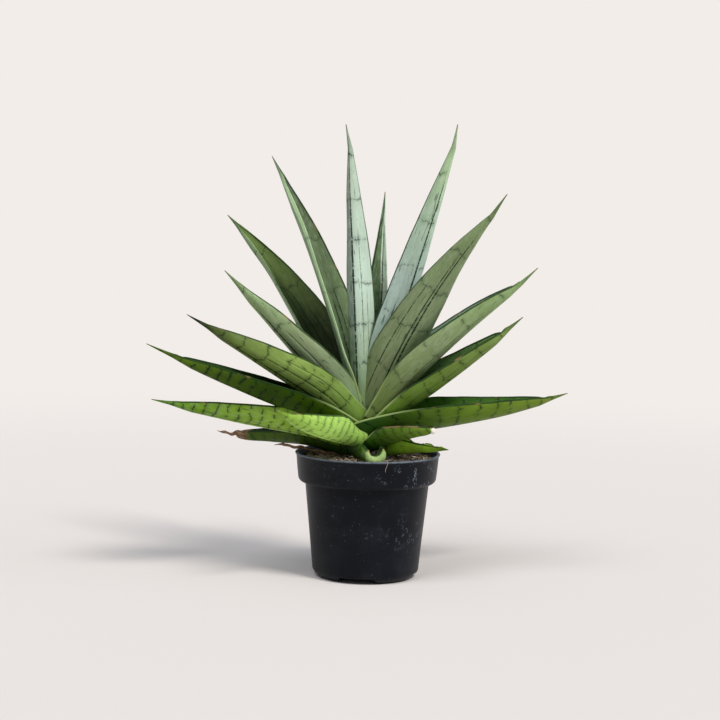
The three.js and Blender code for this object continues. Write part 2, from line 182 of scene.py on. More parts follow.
add_leaf(
    "leaf_right_lower", azimuth=353, rise=38.5, length=151, width=52, channel=80, sheath=90, crease=8,
    height=120.5, radius=13, girth=14.5, heel=5, arch=-0.025, roll=-12,
    outer=("#608227", "#617b2c", "#748b47"), inner=("#42622a", "#60854e", "#6c9650"),
    bands=(18, 0.75), bloom=0.1, rust=0.15, nicks=((-1, 0.86, 0.02, 0.3),),
    streaks=((-1, 0.55, 0.2, 0.8, 0.7, 0.5), (1, 0.3, 0.3, 0.8, 1.0, 0.8)),
)
# painted shade: the channel's near-black colours stand for the shade inside it
add_leaf(
    "leaf_left_lower", azimuth=203, rise=23, length=190, width=54, tip=0.87, channel=74, sheath=92,
    crease=6, height=115, radius=15, heel=6, arch=-0.015, roll=6,
    outer=("#4e6d12", "#304a04", "#5e7b23"), inner=("#0c1604", "#142806", "#2f5212"), flanks=(0.8, 1.15),
    bands=(10, 1.0), bloom=0.0, rust=0.1, gloss=0.06, nicks=((1, 0.84, 0.015, 0.25),),
    streaks=((-1, 0.4, 0.3, 0.8, 0.7, 0.4),),
)
add_leaf(
    "leaf_back_left_short", azimuth=130, rise=20, length=104, width=40, channel=55,
    height=102, radius=12, heel=12,
    outer=("#3f5426", "#4a6330"), bands=(14, 0.5),
)
add_leaf(
    "leaf_right_low", azimuth=20, rise=9.1, length=195, width=63, channel=80, sheath=95, crease=6,
    height=110, radius=-6, girth=18, heel=8, arch=-0.01, sway=0.12, roll=-2,
    slot="leaf_yellow_green", outer=("#264510", "#577218", "#627623"),
    inner=("#203f06", "#366404", "#3a6a08"), flanks=(1.0, 1.12),
    bands=(16, 0.85), bloom=0.05, rust=0.05, gloss=0.08, nicks=((-1, 0.87, 0.015, 0.3),),
    streaks=((-1, 0.2, 0.1, 0.8, 0.8, 0.5), (-1, -0.3, 0.1, 0.7, 0.6, 0.35)),
)
add_leaf(
    "leaf_left_low", azimuth=196, rise=12.2, length=168, width=52, channel=72, sheath=92, crease=8,
    height=107, radius=15, heel=6, arch=-0.01, roll=-12,
    slot="leaf_yellow_green", outer=("#8bb733", "#93bb3e", "#61901b"), inner=("#3f5f1a", "#4f7a28"),
    flanks=(0.88, 1.06), bands=(9, 0.85), bloom=0.3, rust=0.1, gloss=0.1,
    streaks=((-1, -0.12, 0.1, 0.85, 0.9, 0.8),),
)
add_leaf(
    "leaf_front_right_clipped", azimuth=326, rise=15.5, length=75, width=36, channel=72, sheath=80,
    end=0.85, height=107, radius=17, stand=285, girth=9, heel=4,
    slot="leaf_yellow_green", outer=("#2c4e08", "#547616", "#6e8a26"), inner=("#203f06", "#2f5210"),
    bands=(7, 0.6), bloom=0.1, rust=0.3,
    nicks=((-1, 0.3, 0.05, 0.25), (-1, 0.5, 0.07, 0.1), (-1, 0.68, 0.04, 0.15)),
)
add_leaf(
    "leaf_front_left_short", azimuth=229, rise=18, length=107, width=44, wide=0.38, channel=66,
    sheath=90, crease=6, height=112, radius=19, stand=262, girth=7, heel=2, arch=-0.05, roll=-20,
    slot="leaf_yellow_green", outer=("#a6d060", "#bcec70", "#8cb23a"), inner=("#5f8a3a", "#6f9a3c"),
    flanks=(0.92, 1.04), bands=(7.5, 0.6), bloom=0.15, rust=0.05,
    streaks=((-1, 0.0, 0.1, 0.7, 0.8, 0.6),),
)
# painted shade: the near-black channel stands for the shade inside this curled leaf
add_leaf(
    "leaf_left_dried_tip", azimuth=168, rise=2.5, length=113, width=38, tip=0.97, channel=55,
    height=96, radius=14, heel=8, arch=0.03, hook=0.05, crumple=2.8,
    outer=("#2a430a", "#40590c", "#3c580c"), inner=("#0c1604", "#101e04"),
    bands=(9, 0.7), bloom=0, dry=0.76,
)
add_leaf(
    "leaf_front_cut_stub", azimuth=281, rise=2, length=66, width=32, channel=95, crease=0, thick=7,
    end=0.5, height=97, radius=14, heel=4,
    slot="leaf_yellow_green", outer=("#26440c", "#50761e", "#6c9030"), inner=("#2f4a14", "#3f6220"),
    bands=(10, 0.2), rust=0.2, nicks=((1, 0.46, 0.05, 0.25), (-1, 0.4, 0.04, 0.15)),
)
add_leaf(
    "leaf_right_on_soil", azimuth=330, rise=4.7, length=65, width=28, channel=55, start=0.1,
    height=101, radius=14, heel=5,
    slot="leaf_yellow_green", outer=("#94c83e", "#9ccc3a", "#547006"), inner=("#86b034", "#a4cc40"),
    bands=(9, 0.15), bloom=0, rust=0.15, nicks=((-1, 0.55, 0.12, 0.4), (-1, 0.8, 0.06, 0.3)),
)
add_leaf(
    "leaf_withered", azimuth=188, rise=9.5, length=61, width=10, channel=70,
    height=95, radius=15, girth=4, heel=4, crumple=1.6,
    slot="leaf_dry", dry=0,
)

# ---- node graphs ----


def linear(hex_colour):
    """The linear RGBA of a colour given as sRGB hex."""
    parts = [int(hex_colour[i:i + 2], 16) / 255 for i in (1, 3, 5)]
    return [c / 12.92 if c <= 0.04045 else ((c + 0.055) / 1.055) ** 2.4 for c in parts] + [1]


class Graph:
    """A material's nodes, with a short call for each kind used. Values may be sockets or numbers."""

    def __init__(self, name):
        self.material = bpy.data.materials.new(name)
        self.material.use_nodes = True
        self.tree = self.material.node_tree
        self.shader = self.tree.nodes["Principled BSDF"]

    def node(self, kind, inputs=(), **settings):
        made = self.tree.nodes.new("ShaderNode" + kind)
        for key, value in settings.items():
            setattr(made, key, value)
        for key, value in dict(inputs).items():
            self.set(made.inputs[key], value)
        return made

    def set(self, socket, value):
        if isinstance(value, bpy.types.NodeSocket):
            self.tree.links.new(value, socket)
        else:
            socket.default_value = value

    def maths(self, operation, *values):
        return self.node("Math", dict(enumerate(values)), operation=operation).outputs[0]

    def total(self, first, *others):
        for other in others:
            first = self.maths("ADD", first, other)
        return first

    def product(self, first, *others):
        for other in others:
            first = self.maths("MULTIPLY", first, other)
        return first

    def step(self, value, low, high, at_low=0.0, at_high=1.0):
        """A smooth step from at_low to at_high as value goes from low to high."""
        inputs = {0: value, 1: low, 2: high, 3: at_low, 4: at_high}
        return self.node("MapRange", inputs, interpolation_type="SMOOTHSTEP").outputs[0]

    def vector(self, x, y, z=0.0):
        return self.node("CombineXYZ", {0: x, 1: y, 2: z}).outputs[0]

    def split(self, vector):
        return self.node("SeparateXYZ", {0: vector}).outputs

    def attribute(self, name):
        return self.node("Attribute", attribute_name=name).outputs["Vector"]

    def place(self):
        return self.node("TexCoord").outputs["Object"]

    def noise(self, vector, scale=1.0, detail=2.0, roughness=0.5):
        inputs = {"Vector": vector, "Scale": scale, "Detail": detail, "Roughness": roughness}
        return self.node("TexNoise", inputs).outputs[0]

    def mix(self, factor, first, second, blend="MIX"):
        made = self.node("Mix", data_type="RGBA", blend_type=blend)
        for socket, value in zip((made.inputs[0], made.inputs[6], made.inputs[7]), (factor, first, second)):
            self.set(socket, linear(value) if isinstance(value, str) else value)
        return made.outputs[2]

    def brighten(self, colour, value):
        grey = self.node("CombineColor", {0: value, 1: value, 2: value}).outputs[0]
        return self.mix(1.0, colour, grey, "MULTIPLY")

    def ramp(self, value, stops):
        made = self.node("ValToRGB", {0: value})
        points = made.color_ramp.elements
        while len(points) < len(stops):
            points.new(0.5)
        for point, (at, colour) in zip(points, stops):
            point.position = at
            point.color = linear(colour)
        return made.outputs[0]

    def finish(self, colour, roughness, bump=None, strength=0.3, distance=0.3, gloss=0.5):
        """Joins the colour, the roughness and a bump height in mm to the shader."""
        for name, value in (("Base Color", colour), ("Roughness", roughness), ("Specular IOR Level", gloss)):
            self.set(self.shader.inputs[name], value)
        if bump is not None:
            inputs = {"Strength": strength, "Distance": distance * MM, "Height": bump}
            self.set(self.shader.inputs["Normal"], self.node("Bump", inputs).outputs[0])
        return self.material


COLOUR_STOPS = (0.08, 0.45, 0.92)  # the shares of a leaf's length that its colours belong to


class LeafGraph(Graph):
    """A graph with the leaf's own directions: along it, across it, and from one face to the other."""

    def __init__(self, name, leaf):
        super().__init__(name)
        self.leaf = leaf
        self.seed = leaf.seed
        self.across, self.along, self.face = self.split(self.attribute("blade"))
        self.t, self.share, self.rim = self.split(self.attribute("edge"))
        self.edge_strength = 1.0
        self.groove = 0.0

    def mottle(self, across, along, shift, detail=2.0, roughness=0.5):
        """Noise over the blade, with so many features to a mm across and along it."""
        place = self.vector(
            self.product(self.across, across), self.product(self.along, along), self.seed + shift,
        )
        return self.noise(place, 1.0, detail, roughness)

    def run(self, colours):
        """A face's colour from base to tip. A pair keeps its second colour up to the tip."""
        return self.ramp(self.share, list(zip(COLOUR_STOPS, (*colours, colours[-1]))))

    def by_share(self, low, high, at_low=0.0, at_high=1.0):
        return self.step(self.share, low, high, at_low, at_high)


def face_colours(g):
    outer, inner = g.run(g.leaf.outer), g.run(g.leaf.inner)
    colour = g.mix(g.step(g.face, -0.4, 0.4), outer, inner)
    # painted light and shade: the halves on either side of the keel are brightened or darkened as light would
    # fall on them
    low_painted_light, high_painted_light = g.leaf.flanks
    return g.brighten(colour, g.step(g.t, -0.06, 0.06, low_painted_light, high_painted_light))


def paint_rim_highlight(g, colour):
    """A broad pale highlight painted along one side of the channel, where the margin's dark line mostly
    fades.
    """
    side, reach, tint = g.leaf.lit_rim
    limit = g.step(g.face, -0.6, 0.2, reach * 0.2, reach)
    # painted highlight: where this mask is 1 the colour turns to the pale tint and the dark margin line fades
    highlight_mask = g.product(
        g.step(g.product(g.t, side), 0.1, 0.3),
        g.step(g.maths("SUBTRACT", g.rim, limit), 0.0, 1.0, 1.0, 0.0),
        g.by_share(0.05, 0.25), g.by_share(0.84, 0.97, 0.85, 0.0),
    )
    g.edge_strength = g.step(highlight_mask, 0.0, 1.0, 1.0, 0.15)
    return g.mix(highlight_mask, colour, tint)


def fibres(g, colour):
    """Fine fibres along the blade, soft blotches, and a pale waxy bloom."""
    g.grain = g.mottle(1.5, 0.035, 0, 4.0, 0.6)
    g.blotch = g.mottle(0.1, 0.05, 9, 3.0)
    shade = g.total(g.product(g.grain, 0.34), g.product(g.blotch, 0.36), 0.65)
    wax = g.step(g.mottle(0.35, 0.12, 3, 5.0, 0.65), 0.42, 0.7)
    g.bloom = g.product(wax, g.by_share(0.04, 0.3), g.leaf.bloom * 0.45)
    return g.mix(g.bloom, g.brighten(colour, shade), "#d5e2d2")


def bands(g, colour):
    """Wavy dark bands across, broken here and there, each in the middle of a softer shade."""
    spacing, darkness = g.leaf.bands
    stray = min(14, spacing) / spacing
    wave = g.product(g.mottle(0.11, 0.03, 5, 1.0), stray)
    jag = g.product(g.mottle(0.55, 0.25, 6), stray * 0.35)
    phase = g.total(g.product(g.along, 1 / spacing), wave, jag)
    off_middle = g.maths("SUBTRACT", g.maths("FRACT", phase), 0.5)
    from_line = g.product(g.maths("ABSOLUTE", off_middle), spacing)
    row = g.product(g.maths("FLOOR", phase), 5.7)
    broken = g.noise(g.vector(g.product(g.across, 0.3), row, g.seed + 7), 1.0, 2.0)
    line = g.product(g.step(from_line, 0.25, 0.95, 1.0, 0.0), g.step(broken, 0.36, 0.52))
    reach = min(3.6, spacing * 0.45)
    shade = g.product(g.step(from_line, 0.2, reach, 1.0, 0.0), g.step(broken, 0.3, 0.6), 0.42)
    fade = g.by_share(0.9, 0.97, 1.0, 0.0)
    g.band = g.product(g.maths("MAXIMUM", line, shade), fade, darkness)
    return g.mix(g.band, colour, "#0f2412")


def streaks(g, colour):
    """Dark streaks along the blade. They are grooves too."""
    for streak_face, at, start, end, width, strength in g.leaf.streaks:
        off = g.product(g.maths("SUBTRACT", g.t, at), g.leaf.width / 2)
        ragged = g.noise(g.vector(g.product(g.along, 0.5), at * 9, g.seed), 1.0, 3.0, 0.7)
        away = g.maths("SUBTRACT", g.maths("ABSOLUTE", off), g.product(ragged, width * 0.5))
        mark = g.product(
            g.step(away, 0.0, width * 0.42, 1.0, 0.0),
            g.by_share(start - 0.04, start + 0.04),
            g.by_share(end - 0.05, end, 1.0, 0.0),
            g.step(g.product(g.face, streak_face), 0.2, 0.6),
            g.step(ragged, 0.34, 0.46, 0.15, 1.0),
        )
        colour = g.mix(g.product(mark, strength), colour, "#10261a")
        g.groove = g.maths("MAXIMUM", g.groove, mark)
    return colour


def flecks(g, colour):
    """Small dark flecks, and longer dashes that fade out before the awl."""
    fleck = g.product(g.step(g.mottle(1.1, 0.42, 12, 1.0), 0.7, 0.78), 0.45)
    dash = g.step(g.mottle(1.0, 0.07, 14, 1.0), 0.66, 0.72)
    dash = g.product(dash, g.by_share(0.8, 0.92, 0.6, 0.0))
    return g.mix(dash, g.mix(fleck, colour, "#1a3320"), "#12281a")


def margin(g, colour):
    """Pale near the crown, then a thin dark line with rusty stretches. The awl is darker, its end dry."""
    place = g.vector(g.product(g.along, 0.06), g.step(g.t, -0.1, 0.1), g.seed + 15)
    more_rust = 0.3 * g.leaf.rust
    rusty = g.step(g.noise(place, 1.0, 2.0), 0.62 - more_rust, 0.72 - more_rust)
    dark_edge = g.mix(rusty, "#1f3618", "#7a6542")
    edge_colour = g.mix(g.by_share(0.12, 0.3), "#93a868", dark_edge)
    at_edge = g.product(
        g.step(g.rim, 0.3, 0.9, 1.0, 0.0), g.by_share(0.84, 0.92, 0.9, 0.1),
        g.edge_strength,
    )
    colour = g.mix(at_edge, colour, edge_colour)
    colour = g.brighten(colour, g.by_share(0.86, 0.94, 1.0, 0.72))
    return g.mix(g.by_share(0.975, 1.0), colour, "#7a6a4a")


def dried(g, colour):
    """A dried stretch, brown and wrinkled."""
    wrinkles = g.mottle(0.7, 0.2, 20, 5.0, 0.7)
    brown = g.ramp(wrinkles, [(0.3, "#3c2c20"), (0.5, "#7a5f48"), (0.72, "#b59a7c")])
    ragged_share = g.total(g.share, g.product(wrinkles, 0.06))
    g.dry_part = g.step(ragged_share, g.leaf.dry, g.leaf.dry + 0.06)
    return g.mix(g.dry_part, colour, brown)


def leaf_material(name, leaf):
    """Skin of one leaf: a colour for each face with painted light and shade on its two halves, a painted
    highlight along one rim on some leaves, and a layer for each kind of marking over it.
    """
    g = LeafGraph(name, leaf)
    colour = face_colours(g)
    if leaf.lit_rim:
        colour = paint_rim_highlight(g, colour)
    for layer in (fibres, bands, streaks, flecks, margin, dried):
        colour = layer(g, colour)
    rough_parts = ((g.grain, 0.2), (g.bloom, 0.3), (g.dry_part, 0.3))
    roughness = g.total(*(g.product(*part) for part in rough_parts), 0.34)
    high_parts = ((g.grain, 0.8), (g.blotch, 0.8), (g.groove, -1.0), (g.band, -0.3))
    height = g.product(g.total(*(g.product(*part) for part in high_parts)), g.by_share(0.72, 0.9, 1.0, 0.0))
    return g.finish(colour, roughness, height, 0.55, 0.3, leaf.gloss)


def speckled(name, scale, stops, smoothest, roughest, strength, distance, detail=4.0, cut=False):
    """A mottled surface. On a cut leaf it has a brown callus round its edge."""
    g = Graph(name)
    spot = g.noise(g.place(), scale, detail, 0.6 if detail < 5 else 0.65)
    colour = g.ramp(spot, stops)
    if cut:
        edge = g.split(g.attribute("edge"))[2]
        colour = g.mix(g.step(edge, 0.3, 1.6, 0.85, 0.0), colour, "#8a6a3c")
    return g.finish(colour, g.step(spot, 0.2, 0.8, smoothest, roughest), spot, strength, distance)


def soil_material():
    """Crumbly potting mix: dark peat with brown bark and paler specks."""
    g = Graph("potting_mix")
    place = g.place()
    crumb = g.noise(place, 420.0, 6.0, 0.7)
    patch = g.noise(place, 90.0, 3.0, 0.6)
    colour = g.ramp(crumb, [(0.3, "#14110e"), (0.48, "#3a3028"), (0.62, "#7a6a58"), (0.78, "#b5a590")])
    colour = g.brighten(colour, g.step(patch, 0.3, 0.7, 0.6, 1.2))
    return g.finish(colour, g.step(crumb, 0.2, 0.8, 0.98, 0.8), crumb, 0.9, 1.2, 0.25)


def litter_material():
    """Chips and fibres, each with a tint of its own."""
    g = Graph("litter")
    tint = g.split(g.attribute("tint"))[0]
    grain = g.noise(g.place(), 900.0, 4.0, 0.7)
    stops = [(0.0, "#211a15"), (0.3, "#524336"), (0.55, "#8a745f"), (0.8, "#bfab95"), (1.0, "#e0d3c2")]
    colour = g.brighten(g.ramp(tint, stops), g.step(grain, 0.25, 0.75, 0.6, 1.25))
    return g.finish(colour, g.step(grain, 0.2, 0.8, 0.95, 0.75), grain, 0.7, 0.4, 0.25)


def pot_material():
    """Satin black plastic with a fine grain, dust, a pale line painted round the lip as a highlight, and pale
    scuffs on the band and wall.
    """
    g = Graph("pot_plastic")
    place = g.place()
    x, y, z = g.split(place)
    grain = g.noise(place, 1500.0, 3.0, 0.6)
    cloud = g.noise(place, 38.0, 4.0, 0.6)
    colour = g.mix(g.step(cloud, 0.3, 0.75), "#080b12", "#0f141c")
    colour = g.brighten(colour, g.step(grain, 0.3, 0.7, 0.88, 1.12))

    # curled scratches: broken rings round the middles of cells, in patches low at the front right
    bent = g.node("VectorMath", {0: place, 1: (1, 1, 0.8)}, operation="MULTIPLY").outputs[0]
    cells = g.node("TexVoronoi", {"Vector": bent, "Scale": 210.0, "Randomness": 1.0})
    ring = g.maths("ABSOLUTE", g.maths("SUBTRACT", cells.outputs["Distance"], 0.32))
    ring = g.step(ring, 0.03, 0.11, 1.0, 0.0)
    patch = g.noise(place, 75.0, 3.0, 0.6)
    broken = g.noise(place, 420.0, 3.0, 0.6)
    side = g.product(g.step(x, 0.0, 0.045, 0.05, 1.0), g.step(y, -0.03, 0.02, 1.0, 0.15))
    low_band = g.product(g.step(z, 0.078, 0.084), g.step(z, 0.09, 0.1, 1.0, 0.15))
    wall = g.product(g.step(z, 0.02, 0.04), g.step(z, 0.04, 0.065, 0.35, 0.03))
    place_mask = g.product(side, g.maths("MAXIMUM", low_band, wall))
    scuff = g.product(ring, g.step(patch, 0.44, 0.54), g.step(broken, 0.44, 0.54), place_mask)
    speck = g.product(g.step(g.noise(place, 600.0, 1.0, 0.5), 0.7, 0.76), g.step(patch, 0.42, 0.62), 0.22)
    # painted highlight: a pale broken line round the top of the lip, joined to the scuffs and specks and
    # given their pale colour
    painted_lip_highlight = g.product(g.step(z, 0.1012, 0.1022), g.step(broken, 0.3, 0.6, 0.15, 0.5))
    mark = g.maths("MINIMUM", g.total(g.product(scuff, 0.65), speck, painted_lip_highlight), 1.0)
    colour = g.mix(mark, colour, "#8f9aa6")

    dust = g.product(g.step(cloud, 0.45, 0.8), 0.04)
    colour = g.mix(dust, colour, "#5d5a58")
    roughness = g.total(g.product(cloud, 0.16), g.product(grain, 0.08), g.product(mark, 0.2), 0.28)
    height = g.total(grain, g.product(cloud, 0.6), g.product(mark, 0.6))
    return g.finish(colour, roughness, height, 0.25, 0.15, 0.13)


# ---- meshes ----


def smooth(x):
    x = np.clip(x, 0, 1)
    return x * x * (3 - 2 * x)


def bump(x, middle, reach):
    return np.exp(-(((x - middle) / reach) ** 2))


def ripple(x, y, z):
    return noise.noise(Vector((x, y, z)))


def around(radius, angle):
    return radius * cos(angle), radius * sin(angle)


def turns(count):
    """So many angles, evenly round a circle."""
    return [2 * pi * k / count for k in range(count)]


def tube_faces(rows, columns):
    """Faces of a closed solid whose skin is rows of points, each a ring."""
    last = (rows - 1) * columns
    return [*grid_faces(rows, columns), tuple(reversed(range(columns))), tuple(range(last, last + columns))]


def stand_in(piece, node=None):
    """Makes a piece ride with the plant, and hides the node that it stands for."""
    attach(piece, "root")
    if node:
        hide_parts(node)
    return piece


def make_object(name, vertices, faces, materials, attributes=(), smooth_faces=True, slots=None):
    """A mesh object from vertices in millimetres. attributes maps a name to one vector for each vertex."""
    mesh = bpy.data.meshes.new(name)
    mesh.from_pydata((np.asarray(vertices, float) * MM).tolist(), [], faces)
    for material in materials:
        mesh.materials.append(material)
    for key, values in dict(attributes).items():
        layer = mesh.attributes.new(key, "FLOAT_VECTOR", "POINT")
        layer.data.foreach_set("vector", np.asarray(values, np.float32).ravel())
    mesh.polygons.foreach_set("use_smooth", [smooth_faces] * len(faces))
    if slots is not None:
        mesh.polygons.foreach_set("material_index", slots)
    mesh.update()
    made = bpy.data.objects.new(name, mesh)
    bpy.context.scene.collection.objects.link(made)
    return made


def keel_points(leaf, s):
    """The points at shares s of a leaf's keel line, and the leaf's upward direction."""
    azimuth, rise = radians(leaf.azimuth), radians(leaf.rise)
    out = np.array([cos(azimuth), sin(azimuth), 0])
    vertical = np.array([0, 0, 1])
    along = out * cos(rise) + vertical * sin(rise)
    up = vertical * cos(rise) - out * sin(rise)
    side = np.cross(along, up)
    stand = azimuth if leaf.stand is None else radians(leaf.stand)
    base = np.array([*CROWN, leaf.height]) + np.array([cos(stand), sin(stand), 0]) * leaf.radius
    s = np.asarray(s)[:, None]
    bow = 4 * s * (1 - s)
    climb = 1 - np.maximum(1 - s * leaf.length / HEEL_LENGTH, 0) ** 2
    hook = np.clip((s - 0.7) / 0.3, 0, 1) ** 2
    shoulder = np.minimum(s / leaf.tip, (1 - s) / (1 - leaf.tip))
    length = leaf.length
    rising = length * (leaf.arch * bow + leaf.hook * hook) + leaf.heel * climb
    rising = rising + leaf.kink * shoulder
    return base + along * length * s + up * rising + side * length * leaf.sway * bow, up


def half_width(leaf, s):
    girth = leaf.girth or leaf.radius
    base = girth * radians(leaf.sheath)
    full = leaf.width / 2
    opening = base + (full - base) * smooth(s / leaf.wide)
    narrowing = np.clip((s - leaf.wide) / (leaf.tip - leaf.wide), 0, 1) ** 1.3
    awl = np.clip((s - leaf.tip) / (1 - leaf.tip), 0, 1) ** 0.8
    blade = full + (AWL_HALF_WIDTH - full) * narrowing
    return np.where(s < leaf.wide, opening, np.where(s < leaf.tip, blade, AWL_HALF_WIDTH * (1 - 0.85 * awl)))


def channel_angle(leaf, s):
    opened = smooth(s * leaf.length / SHEATH_LENGTH)
    blade = leaf.sheath + (leaf.channel - leaf.sheath) * opened
    closing = smooth((s - 0.55 * leaf.tip) / (0.45 * leaf.tip))
    return np.radians(blade + (TIP_ANGLE - blade) * closing)


ACROSS = 25  # points across each face, before streaks add theirs
STATIONS = 110
RIM_STEPS = 3  # points round the thin edge of a leaf, between its two faces


def across_positions(leaf):
    """Places across a leaf, with more beside each streak so that it can be sunk into the surface."""
    places = set(np.round(np.linspace(-1, 1, ACROSS), 4))
    for _, at, _, _, width, _ in leaf.streaks:
        step = width / leaf.width * 2
        places = {p for p in places if abs(p - at) > 1.9 * step or abs(p) == 1}
        places |= {round(at + k * step, 4) for k in (-1.4, -0.6, 0, 0.6, 1.4) if abs(at + k * step) < 0.99}
    return np.array(sorted(places))


def unit(vectors):
    return vectors / np.linalg.norm(vectors, axis=1, keepdims=True)


def leaf_frame(leaf, s):
    """The keel's points at shares s, and there the blade's sideways and inward directions."""
    near = 1e-3
    keel, up = keel_points(leaf, s)
    tangent = unit(keel_points(leaf, s + near)[0] - keel_points(leaf, s - near)[0])
    inward = unit(up - tangent * (tangent @ up)[:, None])
    roll = radians(leaf.roll)
    inward = inward * cos(roll) - np.cross(tangent, inward) * sin(roll)
    return keel, np.cross(tangent, inward), inward


def section_line(leaf, s, t, half, angle):
    """The section's middle line for a half width of 1: its direction in radians, and its points."""
    crease = radians(leaf.crease) * smooth((half - 5) / 8) * smooth((s - 0.08) / 0.2)
    turn = angle[:, None] * t + crease[:, None] * (np.tanh(t / 0.07) - t)
    mean_turn = (turn[:, 1:] + turn[:, :-1]) / 2
    keel = int(np.argmin(abs(t)))
    lines = []
    for part in (np.cos(mean_turn), np.sin(mean_turn)):
        line = np.concatenate([np.zeros((len(s), 1)), np.cumsum(part * np.diff(t), 1)], 1)
        lines.append(line - line[:, keel:keel + 1])
    return turn, *lines


def side_reach(leaf, s, t):
    """How far the blade reaches sideways, as a factor: its margins are slightly wavy, with nicks."""
    reach = {}
    for side in (-1, 1):
        wave = np.array([ripple(x * 9, side * 4, leaf.seed) for x in s])
        fine = np.array([ripple(x * 60, side * 4, leaf.seed + 5) for x in s])
        reach[side] = 1 + 0.03 * wave + 0.008 * fine
        for nick_side, at, length, depth in leaf.nicks:
            if nick_side == side:
                reach[side] -= depth * bump(s, at, length) * (1 + 0.6 * fine)
    at_margin = np.where(t[None, :] < 0, reach[-1][:, None], reach[1][:, None])
    return 1 + (at_margin - 1) * np.abs(t[None, :])


def face_offsets(leaf, s, t, half, angle):
    """How far the outer and the inner face lie from the section's middle line."""
    keel_thickness = leaf.thick * np.minimum(1, half / SLIM_HALF_WIDTH)
    thickness = keel_thickness[:, None] * (1 - (1 - EDGE_SHARE) * t[None, :] ** 2)
    bend = (half / angle)[:, None]
    outside = np.maximum(-thickness / 2, -3 * bend)
    inside = np.minimum(thickness / 2, 0.8 * bend)

    # the awl is filled up, low swellings run along the blade, and streaks are sunk into it
    filled = smooth((s - leaf.tip + 0.045) / 0.05)[:, None]
    inside = inside + (0.97 * bend - inside) * filled
    for index, x in enumerate(s):
        for column, place in enumerate(t):
            outside[index, column] += 0.45 * ripple(place * 3.2, x * 5, leaf.seed) * (1 - filled[index, 0])
    for face, at, start, end, width, strength in leaf.streaks:
        depth = 0.38 * strength * bump(t * leaf.width / 2, at * leaf.width / 2, width * 0.75)[None, :]
        depth = depth * (smooth((s - start) / 0.06) * smooth((end - s) / 0.06))[:, None]
        if face < 0:
            outside += depth
        else:
            inside -= depth * (1 - filled)
    return outside, inside


def leaf_piece(name, leaf):
    """A leaf as a fine closed mesh: a thick channelled blade with a rounded edge and a solid awl tip."""
    t = across_positions(leaf)
    s = leaf.start + (leaf.end - leaf.start) * (1 - (1 - np.linspace(0, 1, STATIONS)) ** 1.25)
    keel, sideways, inward = leaf_frame(leaf, s)
    half = half_width(leaf, s)
    if leaf.start:
        half = half * np.sqrt(0.02 + 0.98 * smooth((s - leaf.start) / 0.25))
    angle = channel_angle(leaf, s)
    turn, across_x, across_y = section_line(leaf, s, t, half, angle)
    reach = side_reach(leaf, s, t)
    across_x *= half[:, None] * reach
    across_y *= half[:, None] * reach
    outside, inside = face_offsets(leaf, s, t, half, angle)

    # each station's ring: outer face, one rounded edge, inner face back, the other rounded edge
    swings = [pi * ((k + 1) / (RIM_STEPS + 1) - 0.5) for k in range(RIM_STEPS)]
    columns = [(k, outside[:, k], 0, -1) for k in range(len(t))]
    columns += [(len(t) - 1, None, swing, sin(swing)) for swing in swings]
    columns += [(k, inside[:, k], 0, 1) for k in reversed(range(len(t)))]
    columns += [(0, None, -swing, sin(-swing)) for swing in swings]
    rings, blade, edge = [], [], []
    for k, offset, swing, face in columns:
        x, y = across_x[:, k], across_y[:, k]
        proud = 0
        if offset is None:
            low, high = outside[:, k], inside[:, k]
            offset = (low + high) / 2 + (high - low) / 2 * sin(swing)
            proud = (high - low) / 2 * cos(swing) * (1 if k else -1)
        direction = turn[:, k]
        x = x - offset * np.sin(direction) + proud * np.cos(direction)
        y = y + offset * np.cos(direction) + proud * np.sin(direction)
        rings.append(keel + sideways * x[:, None] + inward * y[:, None])
        blade.append(np.stack([half * t[k] * reach[:, k], s * leaf.length, np.full(len(s), float(face))], 1))
        edge.append(np.stack([np.full(len(s), t[k]), s, half * (1 - abs(t[k]))], 1))
    points = np.stack(rings, 1)
    if leaf.crumple:
        wrinkle(points, s, leaf)

    count = len(columns)
    faces = [(a, d, c, b) for a, b, c, d in grid_faces(STATIONS, count)]
    slots = [0] * len(faces)
    for station, at_tip in ((0, False), (STATIONS - 1, True)):
        caps = end_cap(station * count, len(t), at_tip)
        faces += caps
        slots += [1 if at_tip and leaf.end < 1 else 0] * len(caps)
    made = make_object(
        name + "_grown", points.reshape(-1, 3), faces, [leaf_material(name + "_skin", leaf), cut_flesh],
        {"blade": np.stack(blade, 1), "edge": np.stack(edge, 1)}, slots=slots,
    )
    return stand_in(made, name)


def end_cap(first, across_count, flip):
    """Faces that close one end of a leaf: strips from its outer face to its inner one, and its two edges."""
    outer = [first + k for k in range(across_count)]
    after = first + across_count
    edge_high = [after + k for k in range(RIM_STEPS)]
    inner = [after + RIM_STEPS + k for k in reversed(range(across_count))]
    edge_low = [after + RIM_STEPS + across_count + k for k in range(RIM_STEPS)]
    faces = [(outer[k], outer[k + 1], inner[k + 1], inner[k]) for k in range(across_count - 1)]
    faces.append((outer[-1], *edge_high, inner[-1]))
    faces.append((inner[0], *edge_low, outer[0]))
    return inside_out(faces) if flip else faces


def wrinkle(points, s, leaf):
    """Shrivels a leaf's dried end: pulled towards its middle line, twisted and crumpled."""
    dried = smooth((s - leaf.dry) / 0.12)
    centre = points.mean(1, keepdims=True)
    points += (centre - points) * (0.45 * dried)[:, None, None]
    for i, amount in enumerate(dried * leaf.crumple):
        if amount <= 0:
            continue
        for k in range(points.shape[1]):
            spot = Vector(points[i, k]) * 0.16 + Vector((leaf.seed, 0, 0))
            points[i, k] += np.array(noise.noise_vector(spot)) * amount


def grid_faces(rows, columns):
    """Quads between rows of points, where each row closes on itself."""
    faces = []
    for i in range(rows - 1):
        for k in range(columns):
            nxt = (k + 1) % columns
            faces.append((i * columns + k, i * columns + nxt, (i + 1) * columns + nxt, (i + 1) * columns + k))
    return faces


def inside_out(faces):
    return [tuple(reversed(f)) for f in faces]


# ---- pot ----

